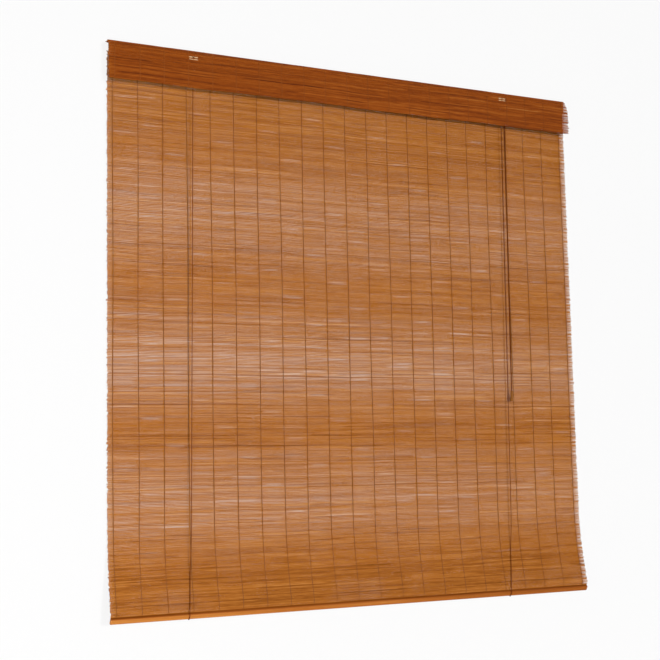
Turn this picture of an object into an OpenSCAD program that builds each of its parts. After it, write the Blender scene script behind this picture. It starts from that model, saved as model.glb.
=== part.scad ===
// Bamboo roll-up blind: a woven splint mat hung in the rebate of a wooden head rail,
// with a short valance of the same mat in front, a wooden foot rail, two lift cords that loop
// under the foot, a guide pulley, a cord lock and a pull cord with a wooden tassel.
// Frame: X to the right, Y into the wall, Z up. The origin lies on the wall, midway between
// the two wall screws. All sizes are in millimetres.

/* [Blind] */
// Width of the mat and of the valance
blind_w = 1510; // [900:10:1800]
// Drop from the wall screws to the middle of the foot rail
foot_drop = 1511; // [900:1:2200]
// Distance of each cord run and wall screw from the nearer end of the blind
cord_inset = 245; // [150:5:300]

/* [Mat] */
// Thickness of the mat over its splints
mat_t = 2.2; // [1.6:0.1:3]
// Depth of the furrow between two splints
furrow_d = 0.55; // [0.3:0.05:0.7]
// Height that one splint takes up in the mat
splint_pitch = 6.2; // [5:0.1:10]
// Number of warp threads across the mat
thread_count = 22; // [8:1:24]
// Width of one warp thread
thread_w = 2.2; // [1:0.1:3]
// Thickness of one warp thread
thread_t = 0.5; // [0.3:0.1:0.8]
// Overhang of the splints beyond the outer threads
fringe = 20; // [10:1:30]
// Number of slits where splints have parted
slit_count = 120; // [0:1:120]
// Width of one slit
slit_w = 60; // [10:1:64]
// Height of one slit
slit_h = 1.2; // [0.6:0.1:1.6]

/* [Head rail] */
// Depth of the head rail, front to back
rail_t = 24; // [22:1:36]
// Height of the head rail
rail_h = 36; // [34:1:60]
// Length by which the head rail stops short of each end of the mat
rail_inset = 10; // [0:1:20]
// Radius of the rail's upper front edge
rail_edge_r = 4; // [2:0.5:8]
// Depth of the rebate that takes the mat
rebate_d = 6; // [5:0.5:8]
// Height of the rebate
rebate_h = 12; // [10:1:13]
// Diameter of the wall screw holes
screw_hole_d = 5; // [4:0.5:6]
// Diameter of the countersink at the front of each screw hole
countersink_d = 10; // [7:0.5:12]

/* [Valance] */
// Height of the valance
valance_h = 105; // [80:1:160]
// Thickness of the valance without its splint ridges
valance_t = 1.6; // [1.2:0.1:2.4]
// Width of the parting in the valance in front of each wall screw
parting_w = 26; // [12:1:26]
// Height of the parting in the valance
parting_h = 8; // [6:0.5:12]

/* [Foot rail] */
// Height of the foot rail's section
foot_w = 16; // [14:1:24]
// Thickness of the foot rail's section
foot_t = 9; // [7:0.5:14]
// Radius of the foot rail's front edges
foot_edge_r = 3; // [1.5:0.5:3.5]
// Lean of the foot rail, top edge forward, in degrees
foot_lean = 30; // [0:1:35]
// Distance of the foot rail's middle from the wall
foot_y = 31; // [24:0.5:40]
// Length by which the foot rail stops short of each end of the mat
foot_inset = 5; // [0:1:15]
// Height over which the mat curls out to the foot rail
curl_h = 240; // [120:5:280]

/* [Cords] */
// Diameter of the cords
cord_d = 2; // [1.6:0.1:2.2]
// Gap between a cord's surface and what it runs over
cord_gap = 0.5; // [0.4:0.05:0.6]
// Drift of the cords to the left for each metre that they hang, as the mat hangs a little askew
cord_drift = 12; // [0:1:16]
// Shift of the left lift cord to the left where it is drawn over the mat's curl
left_tuck = 11; // [0:1:30]
// Shift of the right lift cord to the left where it is drawn over the mat's curl
right_tuck = 22; // [0:1:30]
// Diameter of the knots at the cords' tied ends
knot_d = 5.6; // [4.5:0.1:6]
// Height of the tassel's top below the wall screws
tassel_drop = 910; // [300:1:1400]
// Length of the tassel
tassel_len = 30; // [24:1:50]
// Diameter of the tassel at its foot
tassel_d = 12; // [11:0.5:13]

/* [Cord hardware] */
// Radius at which a cord runs round a wheel
wheel_run_r = 6.1; // [5.5:0.1:7]
// Diameter of the wheels' axle pins
pin_d = 3; // [2.5:0.1:3.4]
// Running clearance between a wheel's bore and its pin, on the radius
run_clear = 0.05; // [0.02:0.01:0.1]
// Thickness of the stamped steel of the bracket and the lock
sheet_t = 1.2; // [0.8:0.1:1.5]
// Distance of the wheels' axles below the head rail
axle_drop = 9; // [9:0.1:12]
// Distance of the left cord's plane from the wall
left_cord_y = 18.5; // [17:0.1:18.5]
// Distance between the two cord grooves of the lock wheel
groove_pitch = 4; // [3.6:0.1:4.5]
// Diameter of the lock's knurled roller
roller_d = 7; // [6:0.1:7.5]
// Travel of the roller in the lock's slots
roller_travel = 7; // [4:0.5:8]

/* [Hidden] */
$fn = 48;

// Place of the cord runs and wall screws across the blind
cord_x = blind_w / 2 - cord_inset;

// Section of the head rail
rail_top = rail_h / 2;
rail_foot = -rail_h / 2;
rail_len = blind_w - 2 * rail_inset;
rebate_top = rail_foot + rebate_h;
screw_hole_r = screw_hole_d / 2;
countersink_depth = countersink_d / 2 - screw_hole_r;

// Mat: middle plane, top edge and thread places
seat_gap = 0.1;
mat_half = mat_t / 2;
furrow_half = mat_half - furrow_d;
mat_y = -(rebate_d - mat_half);
mat_top = rebate_top - 0.5;
thread_pitch = (blind_w - 2 * fringe) / (thread_count - 1);
thread_gap = 0.2;
thread_off = thread_gap + thread_t;
crest_from = 0.25;
crest_to = 0.75;

// Foot rail: its middle, and the lapped end of the mat behind it
foot_mid = [-foot_y, -foot_drop];
foot_lap = foot_w - 3;
foot_up = [-sin(foot_lean), cos(foot_lean)];
foot_back = [cos(foot_lean), sin(foot_lean)];
mat_seat = foot_t / 2 + seat_gap + mat_half * cos(foot_lean);
curl_start = foot_mid + foot_up * foot_w / 2 + foot_back * mat_seat;
mat_end = curl_start - foot_up * foot_lap;
curl_bulge = curl_start + foot_up * 20;
curl_shoulder = [mat_y, curl_start[1] + curl_h / 3];
curl_end = [mat_y, curl_start[1] + curl_h];
splint_count = floor((mat_top - mat_end[1]) / splint_pitch);
mat_foot = mat_top - splint_count * splint_pitch;

// Valance
valance_top = rail_top + valance_t;
valance_foot = valance_top - valance_h;
ridge_h = 0.6;
valance_front = -(rail_t + valance_t);
ridge_root = 0.05;
valance_ridges = floor((rail_top - rail_edge_r - valance_foot) / splint_pitch);
valance_ridge_top = valance_foot + valance_ridges * splint_pitch;

// Cord runs and hardware
cord_r = cord_d / 2;
cord_off = cord_r + cord_gap;
cord_rise = mat_half + thread_off + cord_off;
back_run_y = mat_y + cord_rise;
tie_z = rail_foot + rebate_h / 2;
tie_bend_r = 4;
knot_seat = 6;
plate_z = rail_foot - sheet_t;
axle_z = rail_foot - axle_drop;
join_z = axle_z - 2;
hang_z = join_z - 6;
groove_r = cord_r + 0.3;
wheel_r = wheel_run_r + 0.7;
pin_r = pin_d / 2;
left_wheel_x = -cord_x + wheel_run_r;
lock_wheel_x = cord_x + wheel_run_r;
right_cord_y = left_cord_y - groove_pitch;
lock_y = left_cord_y - groove_pitch / 2;
wheel_w = 5;
lock_wheel_w = wheel_w + groove_pitch;
side_play = 0.5;
pull_x = lock_wheel_x + wheel_run_r;
roller_r = roller_d / 2;
roller_pin_r = 1.4;
slot_clear = 0.15;
roller_dir = [-0.6, 0.8];
roller_locked = [pull_x + cord_r + 0.35 + roller_r, axle_z];
roller_free = roller_locked - roller_dir * roller_travel;
screw_r = 1.2;
screw_len = 12;
screw_head_r = 2.4;
screw_head_t = 1.8;
screw_clear = 0.05;
plate_screw_y = -(rebate_d + 4.4);
pulley_screws = [[left_wheel_x - 12, plate_screw_y], [left_wheel_x + 12, plate_screw_y]];
lock_screws = [[lock_wheel_x - 12, plate_screw_y], [roller_free[0] + 10, -lock_y]];
staple_wire = 0.8;
staple_w = 10;
staple_leg = 7;
staple_xs = [for (k = [1 : 3 : thread_count - 2]) (k + 0.5) * thread_pitch + fringe - blind_w / 2];

// Places on the pull cords, chosen by hand: height below the wall screws, and spread from
// the middle of the pair
pull_route = [
    [-60, 1], [-120, 1], [-200, 1], [-280, 1], [-360, 1], [-440, 1], [-520, 1],
    [-600, 0.98], [-680, 0.9], [-760, 0.76], [-820, 0.62], [-860, 0.5]
];
tassel_z = -tassel_drop;
tassel_x = pull_x - (hang_z - tassel_z) * cord_drift / 1000;
tassel_bore_r = cord_d + 0.3;
tassel_cup_r = tassel_bore_r + 1.5;
tassel_cup_h = 10;
tassel_knot_r = 3.2;
tassel_knot_z = tassel_z - tassel_len + tassel_cup_h - tassel_knot_r;

bamboo = [0.66, 0.42, 0.22];
bamboo_dark = [0.58, 0.32, 0.12];
stained_wood = [0.62, 0.36, 0.14];
pale_wood = [0.85, 0.68, 0.47];
thread_brown = [0.45, 0.25, 0.12];
cord_brown = [0.4, 0.2, 0.09];
steel = [0.66, 0.66, 0.68];

// Section drawn in Y and Z, run along X and centred on the blind
module along_x(length) {
    translate([-length / 2, 0, 0])
        rotate([90, 0, 90])
            linear_extrude(length)
                children();
}

// Outline drawn in X and Z, run towards the front from y
module towards_front(y, depth) {
    translate([0, y, 0])
        rotate([90, 0, 0])
            linear_extrude(depth)
                children();
}

// Round bar along Y, from the front end y_front
module bar_y(x, y_front, z, r, length) {
    translate([x, y_front + length, z])
        rotate([90, 0, 0])
            cylinder(r = r, h = length);
}

// Slot outline between two places
module slot_outline(a, b, r) {
    run = b - a;
    translate(a)
        circle(r);
    translate(b)
        circle(r);
    translate(a)
        rotate(atan2(run[1], run[0]))
            translate([0, -r])
                square([norm(run), 2 * r]);
}

// Curve of the mat's middle from the foot rail up into its plane
function curl_at(t) =
    curl_start * pow(1 - t, 3) + curl_bulge * 3 * pow(1 - t, 2) * t
    + curl_shoulder * 3 * (1 - t) * pow(t, 2) + curl_end * pow(t, 3);

// Place on that curve at a given height, by halving
function curl_share(z, low = 0, high = 1, steps = 24) =
    let (middle = (low + high) / 2)
    steps == 0 ? middle
    : curl_at(middle)[1] < z ? curl_share(z, middle, high, steps - 1)
    : curl_share(z, low, middle, steps - 1);

// Y of the mat's middle at a given height
function mat_mid(z) =
    z >= curl_end[1] ? mat_y
    : z > curl_start[1] ? curl_at(curl_share(z))[0]
    : curl_start[0] + (curl_start[1] - z) * tan(foot_lean);

// Height of a place in a splint: 0 is its upper furrow, 1 its lower one
function splint_z(i, share) = mat_top - (i + share) * splint_pitch;

// One face of the mat from top to foot; side is -1 at the front and 1 at the back
function mat_face(side) = concat(
    [for (i = [0 : splint_count - 1], s = [0, crest_from, crest_to])
        let (z = splint_z(i, s))
        [mat_mid(z) + side * (s == 0 ? furrow_half : mat_half), z]],
    [[mat_mid(mat_foot) + side * furrow_half, mat_foot]]
);

// Heights of the splints' middles in the curled stretch, from the top down
curl_splints = [for (i = [0 : splint_count - 1]) if (splint_z(i, 0.5) < curl_end[1]) i];

function reversed(list) = [for (i = [len(list) - 1 : -1 : 0]) list[i]];

// Edge of a warp thread on one face of the mat
function thread_edge(side, off, top, foot) = concat(
    [[mat_y + side * (mat_half + off), top]],
    [for (i = curl_splints) let (z = splint_z(i, 0.5))
        if (z > foot) [mat_mid(z) + side * (mat_half + off), z]],
    [[mat_mid(foot) + side * (mat_half + off), foot]]
);

module thread_strip(side, top, foot) {
    polygon(concat(
        thread_edge(side, thread_gap, top, foot),
        reversed(thread_edge(side, thread_off, top, foot))
    ));
}

// Tube of a cord along a route; across is a direction square to the route
function unit(v) = v / norm(v);
function route_dir(route, i) = unit(route[min(i + 1, len(route) - 1)] - route[max(i - 1, 0)]);

module cord_tube(route, across) {
    sides = 8;
    last = len(route) - 1;
    points = [for (i = [0 : last])
        let (dir = route_dir(route, i), n = unit(cross(across, dir)), m = cross(dir, n))
        each [for (k = [0 : sides - 1])
            route[i] + cord_r * (cos(k * 360 / sides) * n + sin(k * 360 / sides) * m)]];
    walls = [for (i = [0 : last - 1], k = [0 : sides - 1])
        let (a = i * sides, next = (k + 1) % sides)
        [a + k, a + sides + k, a + sides + next, a + next]];
    first_cap = [for (k = [0 : sides - 1]) k];
    last_cap = [for (k = [sides - 1 : -1 : 0]) last * sides + k];
    polyhedron(points, concat(walls, [first_cap, last_cap]));
}

// Points of an arc in a plane
function arc(middle, r, from, to, steps) =
    [for (k = [0 : steps]) let (a = from + (to - from) * k / steps)
        middle + r * [cos(a), sin(a)]];

// Section of the head rail without its rebate, grown by a cover's thickness
module rail_block(cover = 0) {
    corner = [-rail_t + rail_edge_r, rail_top - rail_edge_r];
    translate([-rail_t - cover, rail_foot])
        square([rail_t + cover, corner[1] - rail_foot]);
    translate([corner[0], rail_foot])
        square([-corner[0], rail_h + cover]);
    translate(corner)
        circle(rail_edge_r + cover);
}

module head_rail() {
    color(pale_wood)
        difference() {
            along_x(rail_len)
                difference() {
                    rail_block();
                    translate([-rebate_d, rail_foot - 1])
                        square([rebate_d + 1, rebate_h + 1]);
                }
            for (x = [-cord_x, cord_x]) {
                bar_y(x, -rail_t - 1, 0, screw_hole_r, rail_t + 2);
                translate([x, -rail_t, 0])
                    rotate([-90, 0, 0])
                        cylinder(r1 = countersink_d / 2, r2 = screw_hole_r, h = countersink_depth);
                bar_y(x, -rail_t - 1, tie_z, cord_r + cord_gap, rail_t + 2);
                bar_y(x, -rail_t - 1, tie_z, knot_d / 2 + 1.6, knot_seat + 1);
            }
            for (place = concat(pulley_screws, lock_screws))
                translate([place[0], place[1], rail_foot - 1])
                    cylinder(r = screw_r + screw_clear, h = screw_len + 1.5);
        }
}

// Splint ridges on the front of the valance, from its foot up
function valance_face() = concat(
    [for (i = [0 : valance_ridges - 1], s = [0, crest_from, crest_to])
        [valance_front - (s == 0 ? ridge_root : ridge_h), valance_foot + (i + s) * splint_pitch]],
    [[valance_front - ridge_root, valance_ridge_top]]
);

// Plain wall of the valance: over the rail's top, round its edge and down the front
module valance_wall() {
    difference() {
        union() {
            rail_block(valance_t);
            translate([valance_front, valance_foot])
                square([valance_t, rail_foot - valance_foot + 1]);
        }
        rail_block();
    }
}

module valance_ridge_strip() {
    polygon(concat(
        valance_face(),
        [[valance_front + valance_t / 2, valance_ridge_top], [valance_front + valance_t / 2, valance_foot]]
    ));
}

module valance() {
    color(bamboo_dark)
        difference() {
            union() {
                along_x(blind_w)
                    valance_wall();
                along_x(blind_w)
                    valance_ridge_strip();
            }
            for (x = [-cord_x, cord_x])
                translate([x - parting_w / 2, valance_front - 1, -parting_h / 2])
                    cube([parting_w, valance_t + 1.5, parting_h]);
        }
}

// Middles of the warp threads across the blind
function thread_x(k) = -blind_w / 2 + fringe + k * thread_pitch;

module valance_threads() {
    top = valance_foot + (valance_ridges - 0.5) * splint_pitch;
    color(thread_brown)
        for (k = [0 : thread_count - 1])
            translate([thread_x(k) - thread_w / 2, valance_front - ridge_h - thread_t, valance_foot])
                cube([thread_w, thread_t, top - valance_foot]);
}

// Slits lie in furrows of the flat stretch, spread over rows and columns by a fixed stride
slit_rows = floor((rail_foot - valance_h - curl_end[1]) / splint_pitch);
first_slit_row = ceil((mat_top - rail_foot + valance_h) / splint_pitch);
column_stride = 8;

module mat_slits() {
    for (k = [0 : 1 : slit_count - 1]) {
        column = (k * column_stride) % (thread_count - 1);
        row = first_slit_row + floor(k * slit_rows / slit_count);
        translate([thread_x(column + 0.5) - slit_w / 2, mat_y - mat_t, splint_z(row, 0) - slit_h / 2])
            cube([slit_w, 2 * mat_t, slit_h]);
    }
}

// Places in the foot rail's own section: u towards the back, v up
module at_foot() {
    translate([0, foot_mid[0], foot_mid[1]])
        rotate([foot_lean, 0, 0])
            children();
}

module mat() {
    color(bamboo)
        difference() {
            along_x(blind_w)
                polygon(concat(mat_face(-1), reversed(mat_face(1))));
            mat_slits();
            for (x = [-cord_x, cord_x])
                bar_y(x, mat_y - mat_t, tie_z - cord_gap, cord_r + 1.5, 2 * mat_t);
            at_foot()
                for (x = staple_xs, side = [-1, 1])
                    translate([x + side * (staple_w - staple_wire) / 2 - staple_wire, 0, -staple_wire])
                        cube([2 * staple_wire, mat_seat + mat_t, 2 * staple_wire]);
        }
}

module warp_threads() {
    front_top = rail_foot - 1;
    front_foot = curl_start[1] + 1;
    back_top = mat_top - 1;
    color(thread_brown)
        for (k = [0 : thread_count - 1])
            translate([thread_x(k), 0, 0]) {
                along_x(thread_w)
                    thread_strip(-1, front_top, front_foot);
                along_x(thread_w)
                    thread_strip(1, back_top, mat_foot + 1);
            }
}

module foot_rail() {
    corner = [foot_t / 2 - foot_edge_r, foot_w / 2 - foot_edge_r];
    color(stained_wood)
        along_x(blind_w - 2 * foot_inset)
            translate(foot_mid)
                rotate(foot_lean) {
                    translate([-corner[0], -foot_w / 2])
                        square([foot_t / 2 + corner[0], foot_w]);
                    translate([-foot_t / 2, -corner[1]])
                        square([foot_t, 2 * corner[1]]);
                    for (side = [-1, 1])
                        translate([-corner[0], side * corner[1]])
                            circle(foot_edge_r);
                }
}

// Grooved wheel on the Y axis
module grooved_wheel(width, grooves) {
    rotate([90, 0, 0])
        rotate_extrude()
            difference() {
                translate([pin_r + run_clear, -width / 2])
                    square([wheel_r - pin_r - run_clear, width]);
                for (place = grooves)
                    translate([wheel_run_r, place])
                        circle(groove_r);
            }
}

// Pin with a riveted head at each end, through two cheeks
module riveted_pin(width) {
    span = width + 2 * side_play + 2 * sheet_t;
    head_t = 0.8;
    rotate([90, 0, 0]) {
        cylinder(r = pin_r, h = span, center = true);
        for (side = [-1, 1])
            translate([0, 0, side * (span + head_t) / 2])
                cylinder(r = pin_r + 1, h = head_t, center = true);
    }
}

// Two cheeks of sheet steel either side of a wheel
module cheeks(y_mid, width) {
    inner = width / 2 + side_play;
    towards_front(-y_mid - inner, sheet_t)
        children();
    towards_front(-y_mid + inner + sheet_t, sheet_t)
        children();
}

// Plate under the head rail, drilled for its screws
module fixing_plate(x_from, x_to, places) {
    difference() {
        translate([x_from, -rail_t + 1, plate_z])
            cube([x_to - x_from, rail_t - rebate_d - 1.6, sheet_t]);
        for (place = places)
            translate([place[0], place[1], plate_z - 1])
                cylinder(r = screw_r + screw_clear, h = sheet_t + 2);
    }
}

module pulley_bracket() {
    half = wheel_r - 0.8;
    color(steel) {
        fixing_plate(left_wheel_x - 16, left_wheel_x + 16, pulley_screws);
        cheeks(left_cord_y, wheel_w)
            difference() {
                union() {
                    translate([left_wheel_x - half, axle_z])
                        square([2 * half, plate_z - axle_z]);
                    translate([left_wheel_x, axle_z])
                        circle(half);
                }
                translate([left_wheel_x, axle_z])
                    circle(pin_r + 0.02);
            }
    }
}

module pulley_wheel() {
    color("ivory")
        translate([left_wheel_x, -left_cord_y, axle_z])
            grooved_wheel(wheel_w, [0]);
}

module pulley_pin() {
    color(steel)
        translate([left_wheel_x, -left_cord_y, axle_z])
            riveted_pin(wheel_w);
}

module lock_housing() {
    left = lock_wheel_x - wheel_r - 1;
    right = roller_free[0] + roller_r + 1.5;
    low = roller_free[1] - roller_r;
    cut = 4;
    color(steel) {
        fixing_plate(lock_wheel_x - 16, lock_screws[1][0] + 4, lock_screws);
        cheeks(lock_y, lock_wheel_w)
            difference() {
                polygon([
                    [left, plate_z], [left, axle_z - cut], [left + cut, low],
                    [right - cut, low], [right, low + cut], [right, plate_z]
                ]);
                translate([lock_wheel_x, axle_z])
                    circle(pin_r + 0.02);
                slot_outline(roller_free, roller_locked, roller_pin_r + slot_clear);
            }
    }
}

module lock_wheel() {
    color("ivory")
        translate([lock_wheel_x, -lock_y, axle_z])
            grooved_wheel(lock_wheel_w, [-groove_pitch / 2, groove_pitch / 2]);
}

module lock_pin() {
    color(steel)
        translate([lock_wheel_x, -lock_y, axle_z])
            riveted_pin(lock_wheel_w);
}

module lock_roller() {
    teeth = 20;
    tooth_h = 0.4;
    pin_len = lock_wheel_w + 2 * side_play + 2 * sheet_t + 1.6;
    color("goldenrod")
        translate([roller_free[0], -lock_y, roller_free[1]])
            rotate([90, 0, 0]) {
                linear_extrude(lock_wheel_w - 0.4, center = true)
                    polygon([for (k = [0 : 2 * teeth - 1])
                        let (r = roller_r - (k % 2) * tooth_h, a = k * 180 / teeth)
                        r * [cos(a), sin(a)]]);
                cylinder(r = roller_pin_r, h = pin_len, center = true);
            }
}

module bracket_screws() {
    color(steel)
        for (place = concat(pulley_screws, lock_screws))
            translate([place[0], place[1], plate_z]) {
                cylinder(r = screw_r, h = screw_len);
                translate([0, 0, -screw_head_t])
                    cylinder(r = screw_head_r, h = screw_head_t);
            }
}

// Staple with its crown on the plane y = 0 and its legs towards the front
module staple() {
    translate([-staple_w / 2, 0, -staple_wire / 2])
        cube([staple_w, staple_wire, staple_wire]);
    for (side = [-1, 1])
        translate([side * (staple_w - staple_wire) / 2 - staple_wire / 2, -staple_leg, -staple_wire / 2])
            cube([staple_wire, staple_leg, staple_wire]);
}

module valance_staples() {
    color(steel)
        for (x = staple_xs)
            translate([x, -rail_t / 2, valance_top])
                rotate([90, 0, 0])
                    staple();
}

module mat_staples() {
    color(steel)
        for (x = staple_xs)
            translate([x, mat_y + mat_half, splint_z(0, (crest_from + crest_to) / 2)])
                staple();
}

module foot_staples() {
    color(steel)
        at_foot()
            for (x = staple_xs)
                translate([x, foot_t / 2 + 2 * seat_gap + mat_t * cos(foot_lean), 0])
                    staple();
}

// Tied end of a cord: from its knot through the rail and the mat, then down behind the mat
function tie_route(x) =
    concat(
        [[x, -rail_t + knot_seat - 1, tie_z]],
        [for (p = arc([back_run_y - tie_bend_r, tie_z - tie_bend_r], tie_bend_r, 90, 0, 5))
            [x, p[0], p[1]]],
        [[x, back_run_y, join_z]]
    );

module tie_end_left() {
    color(cord_brown)
        cord_tube(tie_route(-cord_x), [1, 0, 0]);
}

module tie_end_right() {
    color(cord_brown)
        cord_tube(tie_route(cord_x), [1, 0, 0]);
}

module cord_knots() {
    color(cord_brown)
        for (x = [-cord_x, cord_x])
            translate([x, -rail_t + knot_seat - knot_d / 2, tie_z])
                sphere(d = knot_d);
}

// Loop of a lift cord: down behind the mat, under the foot rail and up the front
function foot_place(u, v) = foot_mid + foot_back * u + foot_up * v;
foot_turn_r = foot_edge_r + cord_off;
foot_turn_u = foot_t / 2 - foot_edge_r;
foot_turn_v = foot_w / 2 - foot_edge_r;
back_turn_r = 4;
back_run_u = foot_t / 2 + (mat_t + thread_off) * cos(foot_lean) + cord_off;
back_turn = [back_run_u - back_turn_r, -foot_turn_v - foot_turn_r + back_turn_r];

// The front run hangs slack: straight down from its wheel, then down the bulge of the mat
function front_run(z, front_y) = min(front_y, mat_mid(z) - cord_rise);
bulge_splints = [for (i = curl_splints) if (i % 2 == 0 && splint_z(i, 0.5) > curl_start[1] + splint_pitch) i];

function lift_section(front_y) = concat(
    [[back_run_y, join_z], [back_run_y, hang_z], [back_run_y, curl_end[1]]],
    [for (i = bulge_splints) let (z = splint_z(i, 0.5)) [mat_mid(z) + cord_rise, z]],
    [foot_place(back_run_u, foot_w / 2)],
    arc(foot_place(back_turn[0], back_turn[1]), back_turn_r, foot_lean, foot_lean - 90, 5),
    arc(foot_place(-foot_turn_u, -foot_turn_v), foot_turn_r, foot_lean - 90, foot_lean - 180, 5),
    arc(foot_place(-foot_turn_u, foot_turn_v), foot_turn_r, foot_lean - 180, -190, 3),
    [for (i = reversed(bulge_splints)) let (z = splint_z(i, 0.5)) [front_run(z, front_y), z]],
    [[front_y, hang_z], [front_y, join_z]]
);

// Place across the blind of a hanging cord at a given height; tuck is its shift over the curl
function curl_depth(z) = min(1, max(0, (curl_end[1] - z) / curl_h));
function drifted(x, z, tuck = 0) =
    x - max(0, hang_z - z) * cord_drift / 1000 - tuck * pow(curl_depth(z), 2);

function lift_route(x, front_y, tuck) =
    [for (p = lift_section(front_y)) [drifted(x, p[1], tuck), p[0], p[1]]];

module lift_cord_left() {
    color(cord_brown)
        cord_tube(lift_route(-cord_x, -left_cord_y, left_tuck), [1, 0, 0]);
}

module lift_cord_right() {
    color(cord_brown)
        cord_tube(lift_route(cord_x, -right_cord_y, right_tuck), [1, 0, 0]);
}

// Cords in the head: round the wheels, and from the pulley across to the lock
function wheel_arc(x, y, from, to, steps) =
    [for (p = arc([x, axle_z], wheel_run_r, from, to, steps)) [p[0], y, p[1]]];

module head_cord_left() {
    color(cord_brown)
        cord_tube(concat(
            [[-cord_x, -left_cord_y, join_z]],
            wheel_arc(left_wheel_x, -left_cord_y, 180, 90, 6),
            wheel_arc(lock_wheel_x, -left_cord_y, 90, 0, 6),
            [[pull_x, -left_cord_y, join_z]]
        ), [0, 1, 0]);
}

module head_cord_right() {
    color(cord_brown)
        cord_tube(concat(
            [[cord_x, -right_cord_y, join_z]],
            wheel_arc(lock_wheel_x, -right_cord_y, 180, 0, 12),
            [[pull_x, -right_cord_y, join_z]]
        ), [0, 1, 0]);
}

// Pull cord from the lock to the tassel; side is 1 towards the wall
function pull_cord_route(side) = let (spread = groove_pitch / 2, close = cord_r + 0.05)
    concat(
        [[pull_x, -lock_y + side * spread, join_z], [pull_x, -lock_y + side * spread, hang_z]],
        [for (p = pull_route) if (p[0] > tassel_z)
            [drifted(pull_x, p[0]), -lock_y + side * max(close, spread * p[1]), p[0]]],
        [[tassel_x, -lock_y + side * close, tassel_z]],
        [[tassel_x, -lock_y + side * close, tassel_knot_z + tassel_knot_r / 2]]
    );

module pull_cord_left() {
    color(cord_brown)
        cord_tube(pull_cord_route(-1), [0, 1, 0]);
}

module pull_cord_right() {
    color(cord_brown)
        cord_tube(pull_cord_route(1), [0, 1, 0]);
}

// Turned wooden bell with a cup below for the knot
module tassel() {
    neck_r = tassel_bore_r + 0.9;
    foot_r = tassel_d / 2;
    color(stained_wood)
        translate([tassel_x, -lock_y, tassel_z])
            rotate_extrude()
                polygon([
                    [tassel_bore_r, 0], [neck_r - 0.4, 0], [neck_r, -1], [neck_r, -4],
                    [neck_r + 0.6, -5], [neck_r + 0.4, -7], [foot_r - 1.4, -0.5 * tassel_len],
                    [foot_r - 0.3, -0.75 * tassel_len], [foot_r, -tassel_len + 3],
                    [foot_r - 0.5, -tassel_len], [tassel_cup_r, -tassel_len],
                    [tassel_cup_r, -tassel_len + tassel_cup_h], [tassel_bore_r, -tassel_len + tassel_cup_h]
                ]);
}

module tassel_knot() {
    color(cord_brown)
        translate([tassel_x, -lock_y, tassel_knot_z])
            sphere(r = tassel_knot_r);
}

head_rail();
valance();
valance_threads();
mat();
warp_threads();
foot_rail();
pulley_bracket();
pulley_wheel();
pulley_pin();
lock_housing();
lock_wheel();
lock_pin();
lock_roller();
bracket_screws();
valance_staples();
mat_staples();
foot_staples();
tie_end_left();
tie_end_right();
cord_knots();
lift_cord_left();
lift_cord_right();
head_cord_left();
head_cord_right();
pull_cord_left();
pull_cord_right();
tassel();
tassel_knot();
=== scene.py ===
"""Bamboo roll-up blind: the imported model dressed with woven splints, threads and twisted cords."""

import math

import bpy
import numpy as np
from mathutils import Matrix, Vector


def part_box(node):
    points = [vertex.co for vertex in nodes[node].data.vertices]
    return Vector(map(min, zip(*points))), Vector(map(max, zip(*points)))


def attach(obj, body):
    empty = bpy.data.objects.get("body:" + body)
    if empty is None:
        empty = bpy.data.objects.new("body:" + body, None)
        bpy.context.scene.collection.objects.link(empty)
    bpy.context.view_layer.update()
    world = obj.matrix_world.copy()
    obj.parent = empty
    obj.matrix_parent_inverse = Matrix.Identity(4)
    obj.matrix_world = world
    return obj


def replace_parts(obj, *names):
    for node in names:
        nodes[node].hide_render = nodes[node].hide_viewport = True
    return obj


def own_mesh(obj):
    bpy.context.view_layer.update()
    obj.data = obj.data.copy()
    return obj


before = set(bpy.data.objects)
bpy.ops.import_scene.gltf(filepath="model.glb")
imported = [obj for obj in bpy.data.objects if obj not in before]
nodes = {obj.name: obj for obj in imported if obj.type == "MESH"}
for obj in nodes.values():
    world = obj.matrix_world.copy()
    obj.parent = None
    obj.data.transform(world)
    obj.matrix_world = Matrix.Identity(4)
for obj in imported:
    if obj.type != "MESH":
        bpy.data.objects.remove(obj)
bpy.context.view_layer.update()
rng = np.random.default_rng(11)

# Shapes are worked out in millimetres, as in the part's source, and turned into metres at the end
MM = 0.001


def node_box(name):
    """Lowest and highest corner of a CAD node, in millimetres."""
    low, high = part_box(name)
    return np.array(low) / MM, np.array(high) / MM


mat_high = node_box("mat")[1]
rail_low, rail_high = node_box("head_rail")
valance_low, valance_high = node_box("valance")
tassel_low, tassel_high = node_box("tassel")
lock_low, lock_high = node_box("lock_wheel")

# Sizes that the boxes don't give, with the same names as in the part's source
FRINGE = 20
THREAD_COUNT = 22
MAT_HALF = 1.1
REBATE_D = 6
RAIL_EDGE_R = 4
FOOT_DROP = 1511
FOOT_Y = 31
FOOT_W = 16
FOOT_T = 9
FOOT_EDGE_R = 3
FOOT_LEAN = math.radians(30)
CURL_H = 240
CURL_BULGE = 20
LAP_SHORT = 3
SEAT_GAP = 0.1
THREAD_OFF = 0.7
CORD_INSET = 245
CORD_R = 1
CORD_OFF = 1.5
CORD_DRIFT = 12
LEFT_TUCK = 11
RIGHT_TUCK = 22
KNOT_D = 5.6
KNOT_SEAT = 6
TIE_BEND_R = 4
TIE_RISE = 0.25
JOIN_DROP = 2
HANG_DROP = 6
WHEEL_RUN_R = 6.1
GROOVE_PITCH = 4
TASSEL_LEN = 30
TASSEL_CUP_H = 10
TASSEL_KNOT_R = 3.2
SLIT_COUNT = 120
SLIT_W = 60
SPLINT_PITCH = 6.2
COLUMN_STRIDE = 8

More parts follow.
